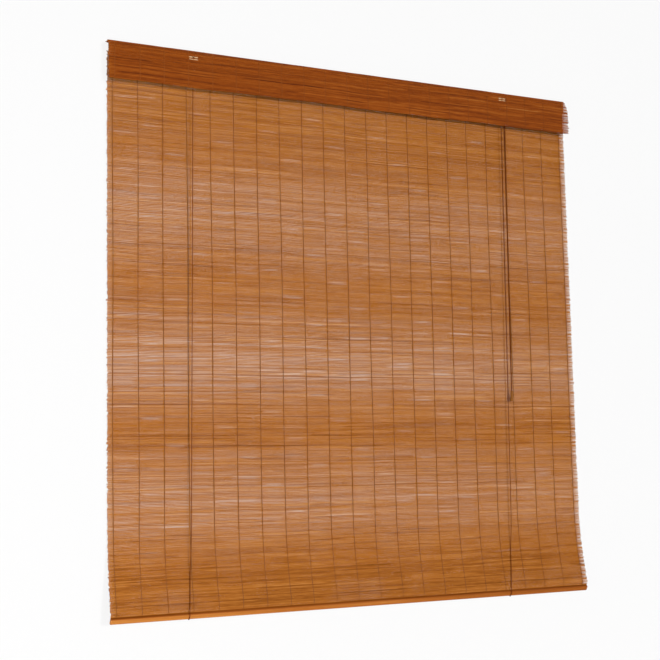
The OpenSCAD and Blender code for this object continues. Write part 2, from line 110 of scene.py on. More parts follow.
half_width = mat_high[0]
thread_pitch = 2 * (half_width - FRINGE) / (THREAD_COUNT - 1)
thread_xs = [FRINGE - half_width + k * thread_pitch for k in range(THREAD_COUNT)]
rail_t = -rail_low[1]
rail_top = rail_high[2]
rail_foot = rail_low[2]
mat_top = mat_high[2]
mat_y = MAT_HALF - REBATE_D
cord_x = half_width - CORD_INSET
axle_z = (lock_low[2] + lock_high[2]) / 2
join_z = axle_z - JOIN_DROP
hang_z = join_z - HANG_DROP
lock_y = -(lock_low[1] + lock_high[1]) / 2
left_cord_y = lock_y + GROOVE_PITCH / 2
right_cord_y = lock_y - GROOVE_PITCH / 2
left_wheel_x = WHEEL_RUN_R - cord_x
lock_wheel_x = cord_x + WHEEL_RUN_R
pull_x = lock_wheel_x + WHEEL_RUN_R
tie_z = (rail_foot + mat_top) / 2 + TIE_RISE
tassel_z = tassel_high[2]
tassel_x = (tassel_low[0] + tassel_high[0]) / 2
tassel_knot_z = tassel_z - TASSEL_LEN + TASSEL_CUP_H - TASSEL_KNOT_R
cord_rise = MAT_HALF + THREAD_OFF + CORD_OFF
back_run_y = mat_y + cord_rise

# Places on the pull cords, given as in the part's source: height, and spread of the pair
PULL_ROUTE = [
    (-60, 1), (-120, 1), (-200, 1), (-280, 1), (-360, 1), (-440, 1), (-520, 1),
    (-600, 0.98), (-680, 0.9), (-760, 0.76), (-820, 0.62), (-860, 0.5),
]

# Lie of the mat in Y and Z: flat, then curled out to the lap behind the leaning foot rail
foot_mid = np.array([-FOOT_Y, -FOOT_DROP])
foot_up = np.array([-math.sin(FOOT_LEAN), math.cos(FOOT_LEAN)])
foot_back = np.array([math.cos(FOOT_LEAN), math.sin(FOOT_LEAN)])
mat_seat = FOOT_T / 2 + SEAT_GAP + MAT_HALF * math.cos(FOOT_LEAN)
curl_start = foot_mid + foot_up * FOOT_W / 2 + foot_back * mat_seat
curl_bulge = curl_start + foot_up * CURL_BULGE
curl_shoulder = np.array([mat_y, curl_start[1] + CURL_H / 3])
curl_end = np.array([mat_y, curl_start[1] + CURL_H])
lap_end = curl_start - foot_up * (FOOT_W - LAP_SHORT)


def curl_at(t):
    """Place on the mat's curl: 0 at the foot rail, 1 where it meets the flat stretch."""
    return (curl_start * (1 - t) ** 3 + curl_bulge * 3 * (1 - t) ** 2 * t
            + curl_shoulder * 3 * (1 - t) * t ** 2 + curl_end * t ** 3)


CURL_STEPS = 90
curl_line = np.array([curl_at(t) for t in np.linspace(1, 0, CURL_STEPS)])


def mat_mid(z):
    """Y of the mat's middle at a height."""
    if z >= curl_end[1]:
        return mat_y
    if z > curl_start[1]:
        return float(np.interp(z, curl_line[::-1, 1], curl_line[::-1, 0]))
    return curl_start[0] + (curl_start[1] - z) * math.tan(FOOT_LEAN)


class Line:
    """A line in Y and Z that is measured along its length from its top."""

    def __init__(self, points):
        self.points = np.array(points, float)
        steps = np.diff(self.points, axis=0)
        lengths = np.hypot(steps[:, 0], steps[:, 1])
        self.marks = np.concatenate([[0], np.cumsum(lengths)])
        self.length = self.marks[-1]

    def at(self, distance):
        """Place at a distance from the top."""
        return np.array([np.interp(distance, self.marks, self.points[:, k]) for k in (0, 1)])

    def down(self, distance):
        """Direction of the line at a distance from the top."""
        step = self.at(min(distance + 1, self.length)) - self.at(max(distance - 1, 0))
        return step / np.hypot(*step)


def front_of(down):
    """Direction towards the room, square to a line's direction."""
    return np.array([down[1], -down[0]])


mat_line = Line([(mat_y, mat_top), (mat_y, (mat_top + curl_end[1]) / 2), *curl_line, lap_end])
hung_length = mat_line.length - np.hypot(*(lap_end - curl_start))


# Meshes


class Weave:
    """Closed tubes gathered into one mesh, with a tone for each point and a place on the bake map."""

    def __init__(self):
        self.points = []
        self.faces = []
        self.tones = []
        self.map = []
        self.count = 0

    def tube(self, rings, tones, first_uv, next_uv):
        """Adds a tube: rings of points, tones of the same shape, and the two map edges of each side."""
        stations, sides = rings.shape[:2]
        index = self.count + np.arange(stations * sides).reshape(stations, sides)
        after = np.roll(index, -1, axis=1)
        walls = np.stack([index[:-1], after[:-1], after[1:], index[1:]], axis=-1)
        wall_map = np.stack([first_uv[:-1], next_uv[:-1], next_uv[1:], first_uv[1:]], axis=2)
        self.faces.append(walls.reshape(-1, 4))
        self.map.append(wall_map.reshape(-1, 4, 2))
        for end, turn in ((0, -1), (stations - 1, 1)):
            for k in range(1, sides - 2, 2):
                corners = [0, k, k + 1, k + 2][::turn]
                self.faces.append(index[end, corners][None])
                self.map.append(first_uv[end, corners][None])
        self.points.append(rings.reshape(-1, 3))
        self.tones.append(tones.reshape(-1))
        self.count += stations * sides

    def piece(self, name, material, body, slot, smooth=False):
        """Makes the mesh object and lets it ride on a body."""
        points = np.concatenate(self.points) * MM
        faces = np.concatenate(self.faces)
        places = np.concatenate(self.map)
        a, b, c = (points[faces[:, k]] for k in (0, 1, 2))
        if np.einsum("ij,ij->", a, np.cross(b, c)) < 0:
            faces = faces[:, ::-1]
            places = places[:, ::-1]
        mesh = bpy.data.meshes.new(name)
        mesh.from_pydata(points.tolist(), [], faces.tolist())
        tone = mesh.attributes.new("tone", "FLOAT", "POINT")
        tone.data.foreach_set("value", np.concatenate(self.tones).astype(np.float32))
        layer = mesh.uv_layers.new(name="OFBake")
        layer.data.foreach_set("uv", places.reshape(-1).astype(np.float32))
        mesh.polygons.foreach_set("use_smooth", [smooth] * len(mesh.polygons))
        mesh.materials.append(material)
        made = bpy.data.objects.new(name, mesh)
        bpy.context.scene.collection.objects.link(made)
        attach(made, body)
        return made


# Materials


class Look:
    """A procedural material under construction."""

    def __init__(self, name, roughness, metallic=0.0, specular=0.05):
        self.material = bpy.data.materials.new(name)
        self.material.use_nodes = True
        self.tree = self.material.node_tree
        self.shader = self.tree.nodes["Principled BSDF"]
        self.shader.inputs["Roughness"].default_value = roughness
        self.shader.inputs["Metallic"].default_value = metallic
        self.shader.inputs["Specular IOR Level"].default_value = specular

    def node(self, kind, **settings):
        """Adds a node with some of its settings."""
        made = self.tree.nodes.new(kind)
        for name, value in settings.items():
            setattr(made, name, value)
        return made

    def link(self, source, target):
        self.tree.links.new(source, target)

    def noise(self, scale, stretch, detail=3.0):
        """Noise over the object's own coordinates, stretched along the axes."""
        place = self.node("ShaderNodeTexCoord")
        mapping = self.node("ShaderNodeMapping")
        mapping.inputs["Scale"].default_value = stretch
        made = self.node("ShaderNodeTexNoise")
        made.inputs["Scale"].default_value = scale
        made.inputs["Detail"].default_value = detail
        self.link(place.outputs["Object"], mapping.inputs["Vector"])
        self.link(mapping.outputs["Vector"], made.inputs["Vector"])
        return made.outputs["Fac"]

    def ramp(self, source, stops):
        """Colours along a value: stops are (place, linear colour)."""
        made = self.node("ShaderNodeValToRGB")
        elements = made.color_ramp.elements
        while len(elements) < len(stops):
            elements.new(0.5)
        for element, (place, colour) in zip(elements, stops):
            element.position = place
            element.color = (*colour, 1)
        self.link(source, made.inputs["Fac"])
        return made.outputs["Color"]

    def math(self, operation, first, second):
        """Result of an operation on two values, each a number or a socket."""
        made = self.node("ShaderNodeMath", operation=operation)
        for socket, value in zip(made.inputs, (first, second)):
            if isinstance(value, (int, float)):
                socket.default_value = value
            else:
                self.link(value, socket)
        return made.outputs[0]

    def spread(self, source, low, high):
        """A value's place between two others, from 0 to 1."""
        made = self.node("ShaderNodeMapRange")
        made.inputs["From Min"].default_value = low
        made.inputs["From Max"].default_value = high
        self.link(source, made.inputs["Value"])
        return made.outputs["Result"]

    def colour(self, source):
        self.link(source, self.shader.inputs["Base Color"])

    def bump(self, source, depth):
        """Fine relief of a depth in metres."""
        made = self.node("ShaderNodeBump")
        made.inputs["Distance"].default_value = depth
        made.inputs["Strength"].default_value = 1.0
        self.link(source, made.inputs["Height"])
        self.link(made.outputs["Normal"], self.shader.inputs["Normal"])


EVEN = (1, 1, 1)
FIBRE_STRETCH = (0.6, 6.0, 9.0)
FIBRE_CONTRAST = 0.45
GRAIN_SCALE = 14
GRAIN_DETAIL = 5.0
GRAIN_DEPTH = 0.0004
LONG_GRAIN = (0.25, 7.0, 7.0)

# Foot rail, with painted light and shade: where its lit face (painted shade above it) and its shaded foot
# begin and end, in metres up from its middle, and how strong they are; the lit face is brightest at the
# left
RAIL_LIT_BAND = (0.0075, 0.0045)
RAIL_FOOT = (-0.0045, -0.007)
RAIL_FOOT_SHADE = 0.2
RAIL_RIGHT_LIGHT = 0.1
RAIL_LEFT_HIGHLIGHT = 0.35
MOTTLE_SHARE = 0.5


def splint_look(name, stops, roughness):
    """Bamboo: tone of each splint from its mesh, which holds painted light and shade as well as its own
    tone, with fine fibres along it.
    """
    look = Look(name, roughness)
    tone = look.node("ShaderNodeAttribute", attribute_name="tone")
    fibre = look.noise(scale=60, stretch=FIBRE_STRETCH)
    shift = look.math("MULTIPLY", look.math("SUBTRACT", fibre, 0.5), FIBRE_CONTRAST)
    look.colour(look.ramp(look.math("ADD", tone.outputs["Fac"], shift), stops))
    look.bump(fibre, depth=0.0003)
    return look.material


def wood_look(name, stops, roughness, stretch):
    """Wood with its grain drawn out along the long side."""
    look = Look(name, roughness)
    grain = look.noise(GRAIN_SCALE, stretch, GRAIN_DETAIL)
    look.colour(look.ramp(grain, stops))
    look.bump(grain, GRAIN_DEPTH)
    return look.material


def rail_look(name, stops, roughness):
    """Varnished wood of the foot rail, with painted light and shade: shaded dark at its top and foot, and
    a painted lit band between, brightest towards the left.
    """
    look = Look(name, roughness)
    grain = look.noise(GRAIN_SCALE, LONG_GRAIN, GRAIN_DETAIL)
    place = look.node("ShaderNodeTexCoord")
    height = look.node("ShaderNodeVectorMath", operation="DOT_PRODUCT")
    height.inputs[1].default_value = (0, *foot_up)
    look.link(place.outputs["Object"], height.inputs[0])
    rail_middle = float(foot_mid @ foot_up) * MM
    # Painted light: the lit band of the face, stronger towards the left; above it the top stays dark as
    # painted shade
    pale = look.spread(height.outputs["Value"], *(rail_middle + place_up for place_up in RAIL_LIT_BAND))
    edge = look.spread(height.outputs["Value"], *(rail_middle + place_up for place_up in RAIL_FOOT))
    axes = look.node("ShaderNodeSeparateXYZ")
    look.link(place.outputs["Object"], axes.inputs[0])
    left = look.spread(axes.outputs["X"], half_width * MM, -half_width * MM)
    left = look.math("ADD", look.math("MULTIPLY", left, RAIL_LEFT_HIGHLIGHT), RAIL_RIGHT_LIGHT)
    tone = look.math("ADD", look.math("MULTIPLY", pale, left), look.math("MULTIPLY", grain, MOTTLE_SHARE))
    # Painted shade along the foot of the rail
    tone = look.math("SUBTRACT", tone, look.math("MULTIPLY", edge, RAIL_FOOT_SHADE))
    look.colour(look.ramp(tone, stops))
    look.bump(grain, GRAIN_DEPTH)
    return look.material


def fibre_look(name, dark, light):
    """Spun thread or cord: slight mottling and a rough surface."""
    look = Look(name, roughness=0.85, specular=0.15)
    mottle = look.noise(scale=420, stretch=EVEN, detail=2.0)
    tone = look.node("ShaderNodeAttribute", attribute_name="tone")
    blend = look.math("ADD", look.math("MULTIPLY", mottle, MOTTLE_SHARE), tone.outputs["Fac"])
    look.colour(look.ramp(blend, [(0.0, dark), (1.0, light)]))
    look.bump(mottle, depth=0.0002)
    return look.material


def two_tone(look, colour, shade, grain, depth):
    """Gives a look its colour and a darker shade of it, and a fine relief, after a grain."""
    darker = tuple(shade * c for c in colour)
    look.colour(look.ramp(grain, [(0.3, darker), (0.7, colour)]))
    look.bump(grain, depth)
    return look.material


def metal_look(name, colour, roughness, stretch):
    """Plated or brushed metal with faint drawn lines."""
    look = Look(name, roughness, metallic=1.0, specular=0.5)
    lines = look.noise(scale=300, stretch=stretch, detail=2.0)
    return two_tone(look, colour, shade=0.75, grain=lines, depth=0.00005)


def plastic_look(name, colour):
    """Moulded plastic with a faint grain."""
    look = Look(name, roughness=0.45, specular=0.5)
    grain = look.noise(scale=600, stretch=EVEN, detail=2.0)
    return two_tone(look, colour, shade=0.9, grain=grain, depth=0.00004)


MAT_STOPS = [
    (0.0, (0.10, 0.025, 0.002)), (0.28, (0.27, 0.082, 0.010)), (0.5, (0.417, 0.146, 0.023)),
    (0.72, (0.535, 0.23, 0.055)), (1.0, (0.72, 0.41, 0.19)),
]
VALANCE_STOPS = [
    (0.0, (0.06, 0.010, 0.001)), (0.28, (0.17, 0.033, 0.003)), (0.5, (0.28, 0.061, 0.004)),
    (0.72, (0.38, 0.105, 0.012)), (1.0, (0.57, 0.24, 0.06)),
]
RAIL_STOPS = [
    (0.15, (0.20, 0.048, 0.004)), (0.3, (0.29, 0.078, 0.008)), (0.5, (0.42, 0.13, 0.020)),
    (0.7, (0.56, 0.22, 0.045)), (0.9, (0.64, 0.31, 0.09)),
]
PALE_STOPS = [(0.3, (0.58, 0.36, 0.18)), (0.55, (0.70, 0.46, 0.25)), (0.75, (0.76, 0.54, 0.32))]
STAINED_STOPS = [(0.3, (0.22, 0.075, 0.016)), (0.5, (0.36, 0.145, 0.03)), (0.72, (0.46, 0.21, 0.05))]
mat_look = splint_look("mat_bamboo_look", MAT_STOPS, 0.7)
valance_look = splint_look("valance_bamboo_look", VALANCE_STOPS, 0.6)
thread_look = fibre_look("thread_look", (0.075, 0.023, 0.007), (0.21, 0.076, 0.024))
stitch_look = fibre_look("stitching_look", (0.20, 0.042, 0.004), (0.33, 0.085, 0.010))
cord_look = fibre_look("cord_look", (0.078, 0.014, 0.001), (0.235, 0.046, 0.004))
pale_look = wood_look("pale_wood_look", PALE_STOPS, 0.6, (0.25, 6.0, 6.0))
foot_look = rail_look("stained_wood_painted_shade_look", RAIL_STOPS, 0.4)
tassel_look = wood_look("tassel_wood_look", STAINED_STOPS, 0.35, (9.0, 9.0, 1.5))
steel_look = metal_look("steel_look", (0.62, 0.62, 0.64), 0.35, (0.2, 2.0, 2.0))
brass_look = metal_look("brass_look", (0.72, 0.50, 0.18), 0.3, (2.0, 0.2, 2.0))
wheel_look = plastic_look("wheel_plastic_look", (0.80, 0.76, 0.64))

for name, look in {
    "head_rail": pale_look, "foot_rail": foot_look, "tassel": tassel_look,
    "pulley_bracket": steel_look, "pulley_pin": steel_look, "lock_housing": steel_look,
    "lock_pin": steel_look, "bracket_screws": steel_look, "valance_staples": steel_look,
    "mat_staples": steel_look, "foot_staples": steel_look, "lock_roller": brass_look,
    "pulley_wheel": wheel_look, "lock_wheel": wheel_look,
}.items():
    for material_slot in nodes[name].material_slots:
        material_slot.material = look


# Splints

# Section of a splint: place along the mat in shares of its height, and towards the room in shares
# of its half thickness. The first half of the sides faces the room.
SECTION = np.array([
    (-0.5, 0.0), (-0.27, 1.0), (0.27, 1.0), (0.5, 0.0), (0.27, -1.0), (-0.27, -1.0),
])
FRONT_SIDES = 3
SECTION_EDGE = 0.4
# Painted shade along the upper and lower edges of each splint, for the shade in the gaps between splints
PAINTED_GAP_SHADE = 0.09
SPLINT_LOW = 2.3
SPLINT_HIGH = 4.0
SPLINT_HALF_T = 0.95
STATIONS_PER_THREAD = 3
SLIT_NARROW = 0.85
RISE_SPREAD = 0.06

# Bake map: room beyond the splints, and the share of its height that one face of the mat takes up
MAP_HALF_WIDTH = half_width + 12
MAP_MARGIN = 4
MAP_FACE = 0.5
MAP_FACE_USED = 0.49

# Waves of the splints: size, length across, length down the mat, and start
WAVES = [(0.8, 97, 310, 0.0), (0.5, 41, -170, 1.7), (0.3, 19, 90, 0.0)]
SEAM_CALM = 60

# Gaps: evenness of the rows and of single gaps, chance and width of wide ones, closeness at the threads,
# and how much more open the left is
ROW_LOT = 11
GAP_LOT = 12
WIDE_CHANCE = (0.003, 0.014)
WIDE_GAP = 3
TIED_ZONE = 0.05
TIED_GAP = 0.9
LOOSE_GAP = 1.05
MOST_GAP = 0.4
SIDE_OPENNESS = 0.3

# Tones of the splints and of the lengths that they are pieced together from
TONE_MIDDLE = 0.5
TONE_SPREAD = 0.03
STRAY_CHANCE = 0.04
STRAY_SHIFT = 0.1
PATCH_START = 200
PATCH_LENGTHS = (40, 260)
MAT_CONTRAST = 0.06
VALANCE_CONTRAST = 0.085

# Ends of the splints
LEFT_SHORT = 5.0
RIGHT_SHORT = 1.2
RAGGED_SPREAD = 1.0
TIP = 1.5
# Painted light: tips past the outer threads are lighter, for light through the loose ends
TIP_PAINTED_LIGHT = 0.08
END_TONES = (-0.4, 0.35)
LEFT_TIP = 0.96
RIGHT_TIPS = (0.45, 1.0)
TUFT_TURN = 2 * math.pi / 8
TUFT_DRIFT = 2 * math.pi / 37
TUFT_SWAY = 2
TUFT_EDGE = 0.25


def wander(x, distance):
    """Shared waver of the splints, so that neighbours stay side by side; none where the lap begins."""
    calm = min(1, abs(distance - hung_length) / SEAM_CALM)
    waves = (size * np.sin(x / across + start + distance / along) for size, across, along, start in WAVES)
    return calm * sum(waves)


def patches(xs, strength):
    """Tones of the lengths that one splint is pieced together from."""
    tones = np.zeros(len(xs))
    place = -half_width - rng.uniform(0, PATCH_START)
    while place < half_width:
        length = rng.uniform(*PATCH_LENGTHS)
        tones[(xs >= place) & (xs < place + length)] = rng.normal(0, strength)
        place += length
    return tones


station_grid = thread_xs[0] + thread_pitch / STATIONS_PER_THREAD * np.arange(
    STATIONS_PER_THREAD * (THREAD_COUNT - 1) + 1)


def parted(xs, share):
    """Gap under a splint as a share of its height: tied close at the threads, loose between them."""
    between = (xs - thread_xs[0]) / thread_pitch
    lots = rng.gamma(ROW_LOT, 1 / ROW_LOT) * rng.gamma(GAP_LOT, 1 / GAP_LOT, THREAD_COUNT + 1)
    wide_chance = np.linspace(*WIDE_CHANCE, THREAD_COUNT + 1)
    lots[rng.random(THREAD_COUNT + 1) < wide_chance] *= WIDE_GAP
    lot = lots[np.clip(np.floor(between).astype(int) + 1, 0, THREAD_COUNT)]
    tied = np.abs(between - np.round(between)) < TIED_ZONE
    side = 1 - SIDE_OPENNESS * xs / half_width
    return np.minimum(share * side * lot * np.where(tied, TIED_GAP, LOOSE_GAP), MOST_GAP)


def tuft(distance):
    """Share of its height that a splint keeps at its right end, where the ends stand in small tufts."""
    swing = math.sin(distance * TUFT_TURN + TUFT_SWAY * math.sin(distance * TUFT_DRIFT))
    return float(np.interp(swing, (-TUFT_EDGE, TUFT_EDGE), RIGHT_TIPS))


def add_splint(weave, line, span, distance, height, half_t, x_from, x_to, tone, share, contrast,
               narrow=()):
    """Lays one splint across the mat; narrow lists places where it has shrunk beside a slit."""
    inner = station_grid[(station_grid > x_from + 2 * TIP) & (station_grid < x_to - 2 * TIP)]
    xs = np.concatenate([[x_from, x_from + TIP], inner, [x_to - TIP, x_to]])
    down = line.down(distance)
    front = front_of(down)
    middles = distance + wander(xs, distance)
    heights = height * (1 - parted(xs, share))
    for slit_x in narrow:
        heights[np.abs(xs - slit_x) < SLIT_W / 2] *= SLIT_NARROW
    tips = np.abs(xs) > half_width - FRINGE / 2
    heights[tips] *= np.where(xs[tips] < 0, LEFT_TIP, tuft(distance))
    rise = rng.normal(0, RISE_SPREAD, len(xs))
    places = line.at(np.clip(middles, 0, line.length)).T
    along = SECTION[None, :, 0] * heights[:, None]
    out = SECTION[None, :, 1] * half_t + rise[:, None]
    section = places[:, None, :] + along[..., None] * down + out[..., None] * front
    rings = np.concatenate([np.broadcast_to(xs[:, None, None], along.shape + (1,)), section], axis=-1)
    # Painted light on the loose ends past the outer threads
    shades = tone + patches(xs, contrast) + np.where(tips, TIP_PAINTED_LIGHT, 0)
    shades[[0, -1]] += rng.choice(END_TONES, 2)
    # Painted shade: each splint darker along its upper and lower edges, where the gaps between splints are
    tones = shades[:, None] - PAINTED_GAP_SHADE * (np.abs(SECTION[None, :, 0]) > SECTION_EDGE)
    weave.tube(rings, tones, *splint_map(xs, middles[:, None] + along, span))


def splint_map(xs, distances, span):
    """Bake map of a splint: across by x, down by distance; the back has the upper half of the map."""
    u = np.broadcast_to(((xs + MAP_HALF_WIDTH) / (2 * MAP_HALF_WIDTH))[:, None], distances.shape)
    v = np.clip((distances - span[0]) / (span[1] - span[0]), 0, 1) * MAP_FACE_USED
    back = (np.arange(len(SECTION)) >= FRONT_SIDES) * MAP_FACE
    first = np.stack([u, v + back], axis=-1)
    following = np.stack([u, np.roll(v, -1, axis=1) + back], axis=-1)
    return first, following


def ragged(mean):
    """Length by which a splint's end stops short of the mat's edge, or passes it where negative."""
    return rng.normal(mean, RAGGED_SPREAD)


# Broad bands of the mat, given one by one: height, change of tone, and share that is open between splints
# The change of tone is partly the splints' own tone and partly painted light and shade: lighter in the
# open bands, where light comes through, and darker in the dense rows near the foot
BANDS = [
    (0, 0.0, 0.015), (-130, -0.015, 0.015), (-240, -0.025, 0.022), (-420, 0.02, 0.083),
    (-520, 0.0, 0.055), (-620, -0.02, 0.026), (-690, -0.015, 0.036), (-800, 0.04, 0.095),
    (-885, 0.05, 0.112), (-945, 0.0, 0.05), (-1010, -0.03, 0.018), (-1060, -0.02, 0.025),
    (-1190, 0.04, 0.088), (-1250, 0.03, 0.08), (-1310, 0.0, 0.042), (-1360, -0.03, 0.018),
    (-1420, -0.06, 0.004), (-1520, -0.05, 0.004),
]
band_heights, band_changes, band_shares = (list(column)[::-1] for column in zip(*BANDS))


def splint_tone(z):
    """Tone of a splint at a height: its band's change, which is partly painted light and shade, its own
    random tone, and now and then a stray one.
    """
    tone = TONE_MIDDLE + np.interp(z, band_heights, band_changes) + rng.normal(0, TONE_SPREAD)
    stray = rng.random()
    if stray < STRAY_CHANCE:
        tone -= STRAY_SHIFT
    elif stray > 1 - STRAY_CHANCE:
        tone += STRAY_SHIFT
    return tone


def slit_places():
    """Height and place across of each slit, spread as in the part's source."""
    below_valance = rail_foot - (valance_high[2] - valance_low[2])
    rows = math.floor((below_valance - curl_end[1]) / SPLINT_PITCH)
    first_row = math.ceil((mat_top - below_valance) / SPLINT_PITCH)
    places = []
    for k in range(SLIT_COUNT):
        column = (k * COLUMN_STRIDE) % (THREAD_COUNT - 1)
        row = first_row + math.floor(k * rows / SLIT_COUNT)
        places.append((mat_top - row * SPLINT_PITCH, thread_xs[column] + thread_pitch / 2))
    return places


def splint_rows(start, end):
    """Middles and heights of the splints between two distances along the mat."""
    rows = []
    place = start
    while place + SPLINT_LOW < end:
        height = min(rng.uniform(SPLINT_LOW, SPLINT_HIGH), end - place)
        rows.append((place + height / 2, height))
        place += height
    return rows


hung_rows = splint_rows(0, hung_length)
lap_rows = splint_rows(hung_length, mat_line.length)
slits = slit_places()
PANELS = 3


def add_mat_splint(weave, span, distance, height):
    """Lays one splint of the mat, in the tone and with the gap of its band."""
    z = mat_line.at(distance)[1]
    narrow = [x for slit_z, x in slits if 0 <= slit_z - z < height]
    x_from = ragged(LEFT_SHORT) - half_width
    x_to = half_width - ragged(RIGHT_SHORT)
    tone = splint_tone(z)
    share = np.interp(z, band_heights, band_shares)
    add_splint(weave, mat_line, span, distance, height, SPLINT_HALF_T, x_from, x_to, tone, share,
               MAT_CONTRAST, narrow)


mat_pieces = []
for panel in range(PANELS):
    rows = hung_rows[panel * len(hung_rows) // PANELS:(panel + 1) * len(hung_rows) // PANELS]
    span = (rows[0][0] - MAP_MARGIN, rows[-1][0] + MAP_MARGIN)
    panel_weave = Weave()
    for distance, height in rows:
        add_mat_splint(panel_weave, span, distance, height)
    mat_pieces.append(panel_weave.piece(f"mat_splints_{panel + 1}", mat_look, "head", "mat_bamboo"))
lap_weave = Weave()
lap_span = (hung_length - MAP_MARGIN, mat_line.length + MAP_MARGIN)
for distance, height in lap_rows:
    add_mat_splint(lap_weave, lap_span, distance, height)
lap_piece = lap_weave.piece("mat_lap_splints", mat_look, "foot", "mat_bamboo")
for made in mat_pieces + [lap_piece]:
    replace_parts(made, "mat")


# Valance: over the rail's top, round its edge and down its front, parted in front of the wall screws

VALANCE_RISE = 0.95
VALANCE_HALF_T = 0.85
PARTING_W = 26
VALANCE_OPEN = 0.02
VALANCE_SHORT = 3.0
VALANCE_SPREAD = 0.04
VALANCE_START = -0.5
EDGE_STEPS = 9
RIGHT_REACH = 7
CORNER_CUT = 14
CORNER_H = 36
edge_middle = np.array([RAIL_EDGE_R - rail_t, rail_top - RAIL_EDGE_R])
edge_r = RAIL_EDGE_R + VALANCE_RISE
valance_line = Line(
    [(VALANCE_START, rail_top + VALANCE_RISE)]
    + [edge_middle + edge_r * np.array([-math.sin(a), math.cos(a)])
       for a in np.linspace(0, math.pi / 2, EDGE_STEPS)]
    + [(-rail_t - VALANCE_RISE, valance_low[2])]
)
valance_rows = splint_rows(0, valance_line.length)
middle_row = min(range(len(valance_rows)), key=lambda k: abs(valance_line.at(valance_rows[k][0])[1]))
valance_weave = Weave()
valance_span = (-MAP_MARGIN, valance_line.length + MAP_MARGIN)
for k, (distance, height) in enumerate(valance_rows):
    corner = min(1, max(0, 1 - (distance - rail_t) / CORNER_H))
    ends = [ragged(VALANCE_SHORT) - half_width,
            half_width + RIGHT_REACH - ragged(RIGHT_SHORT) - CORNER_CUT * corner ** 2]
    tone = TONE_MIDDLE + rng.normal(0, VALANCE_SPREAD)
    if abs(k - middle_row) == 1:
        cuts = [x + side * PARTING_W / 2 for x in (-cord_x, cord_x) for side in (-1, 1)]
        ends = sorted(ends + cuts)
    for x_from, x_to in zip(ends[::2], ends[1::2]):
        add_splint(valance_weave, valance_line, valance_span, distance, height, VALANCE_HALF_T,
                   x_from, x_to, tone, VALANCE_OPEN, VALANCE_CONTRAST)
valance_piece = valance_weave.piece("valance_splints", valance_look, "head", "valance_bamboo")
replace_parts(valance_piece, "valance")


# Warp threads: each dips into the gap between two splints and rides over the next one

THREAD_W = 2.2
THREAD_T = 0.6
THREAD_DIP = 0.2
THREAD_CLEAR = 0.1
THREAD_LEAN = 0.35
THREAD_SWAY = 0.9
THREAD_WAVE = 130
THREAD_START = 6
THREAD_TONES = (0.1, 0.5)
# Painted shade: threads darker towards the right, for the shade on their sides that shows more there
THREAD_RIGHT_SHADE = 0.3
CURL_LIGHTER = 0.45
STRIP_EDGE = 0.1
STRIP_USED = 0.8
MAP_END = 0.01


def add_thread(weave, strip, line, rows, x, side, half_t, count):
    """One thread over the rows of splints, with its strip of the map; side is 1 in front and -1 behind."""
    rings = []
    drift = rng.uniform(0, THREAD_START)
    half_w = THREAD_W / 2
    for k, (distance, height) in enumerate(rows):
        for share, out in ((-0.5, THREAD_DIP), (0.0, half_t + THREAD_T / 2 + THREAD_CLEAR)):
            place = distance + share * height
            place = min(max(place + float(wander(x, distance)), 0), line.length)
            down = line.down(place)
            front = front_of(down) * side
            middle = line.at(place) + front * out
            lean = THREAD_LEAN * (-1) ** k if share == 0 else 0
            at_x = x + lean + THREAD_SWAY * math.sin(distance / THREAD_WAVE + drift)
            ring = []
            for across, outward in ((-half_w, 0), (0, -THREAD_T / 2), (half_w, 0), (0, THREAD_T / 2)):
                spot = middle + front * outward
                ring.append((at_x + across * side, spot[0], spot[1]))
            rings.append(ring)
    rings = np.array(rings)
    stations = len(rings)
    sides = rings.shape[1]
    v = np.linspace(MAP_END, 1 - MAP_END, stations)[:, None].repeat(sides, axis=1)
    columns = strip + STRIP_EDGE + STRIP_USED * np.arange(sides) / sides
    u = columns[None].repeat(stations, axis=0) / count
    wide = STRIP_USED / sides / count
    curled = np.clip((curl_end[1] - rings[:, 0, 2]) / CURL_H, 0, 1)
    # Painted shade darkens the threads towards the right; over the curl they are lighter
    tone_shift = CURL_LIGHTER * curled - THREAD_RIGHT_SHADE * x / half_width
    tones = (tone_shift + rng.uniform(*THREAD_TONES, stations))[:, None].repeat(sides, axis=1)
    weave.tube(rings, tones, np.stack([u, v], axis=-1), np.stack([u + wide, v], axis=-1))


def thread_piece(name, line, rows, side, half_t, body, look=thread_look):
    """All threads of one face, as one piece."""
    weave = Weave()
    for k, x in enumerate(thread_xs):
        add_thread(weave, k, line, rows, x, side, half_t, len(thread_xs))
    return weave.piece(name, look, body, "thread", smooth=True)


below_rail = [row for row in hung_rows if mat_line.at(row[0])[1] < rail_foot - 1]
front_threads = thread_piece("warp_threads_front", mat_line, below_rail, 1, SPLINT_HALF_T, "head")
back_threads = thread_piece("warp_threads_back", mat_line, hung_rows[1:], -1, SPLINT_HALF_T, "head")
lap_threads = thread_piece("warp_threads_lap", mat_line, lap_rows[:-1], -1, SPLINT_HALF_T, "foot")
for made in (front_threads, back_threads, lap_threads):
    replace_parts(made, "warp_threads")
front_rows = [row for row in valance_rows if valance_line.at(row[0])[0] < -rail_t + 1]
valance_threads = thread_piece("valance_stitching", valance_line, front_rows, 1, VALANCE_HALF_T, "head",
                               stitch_look)
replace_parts(valance_threads, "valance_threads")


# Cords

CORD_STEP = 2.0
CORD_SIDES = 8
TWIST_PITCH = 11
LOBE = 0.14
CORD_TONE = 0.25
# Painted shade in the grooves between the twisted strands, and painted light on their crowns
STRAND_PAINTED_SHADE = 0.2


def unit(v):
    return v / np.linalg.norm(v)


def spaced(route, step):
    """Points at even steps along a route."""
    route = np.array(route, float)
    marks = np.concatenate([[0], np.cumsum(np.linalg.norm(np.diff(route, axis=0), axis=1))])
    count = max(2, round(marks[-1] / step))
    at = np.linspace(0, marks[-1], count + 1)
    return np.stack([np.interp(at, marks, route[:, k]) for k in range(3)], axis=1), at


